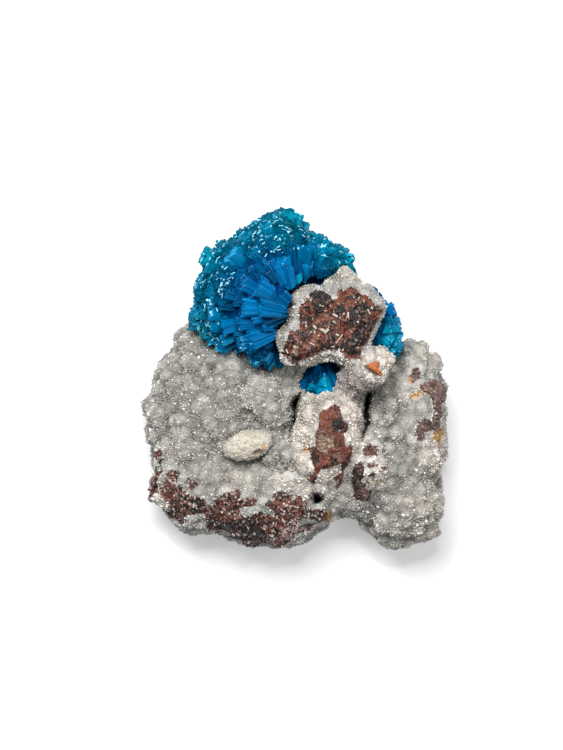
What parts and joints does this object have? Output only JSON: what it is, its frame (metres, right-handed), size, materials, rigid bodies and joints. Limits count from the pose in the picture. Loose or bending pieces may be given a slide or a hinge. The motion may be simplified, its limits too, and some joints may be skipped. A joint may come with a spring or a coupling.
{
  "type": "mineral specimen, cavansite rosettes on drusy matrix",
  "caption": "Blue radiating cavansite rosettes grown on a pale drusy rock with broken red-brown basalt faces and a cream stilbite lens.",
  "frame": {"origin": "middle of the specimen's outline, on the flat broken underside", "axes": "+Z up, out of the crystal-bearing face; +Y towards the end with the large blue rosette; +X towards the right lobe as seen from above with +Y up"},
  "size_m": [0.05, 0.0548, 0.0258],
  "materials": {
    "druse": "pale grey-green druse of small sparkling crystals",
    "cavansite": "deep teal to azure, glassy blades",
    "dark_basalt": "broken dark brown and rust-red basalt",
    "orange_basalt": "orange-brown weathered basalt",
    "red_basalt": "brick-red basalt",
    "brown_basalt": "grey-brown basalt",
    "stilbite": "cream, waxy"
  },
  "bodies": {
    "root": {"drusy_matrix": "druse", "cavansite_main": "cavansite", "cavansite_side": "cavansite", "cavansite_hollow": "cavansite", "basalt_star": "dark_basalt", "basalt_wedge": "orange_basalt", "basalt_centre": "red_basalt", "basalt_band": "dark_basalt", "basalt_sliver": "dark_basalt", "basalt_right": "brown_basalt", "basalt_streak": "dark_basalt", "stilbite_lens": "stilbite"}
  },
  "joints": []
}
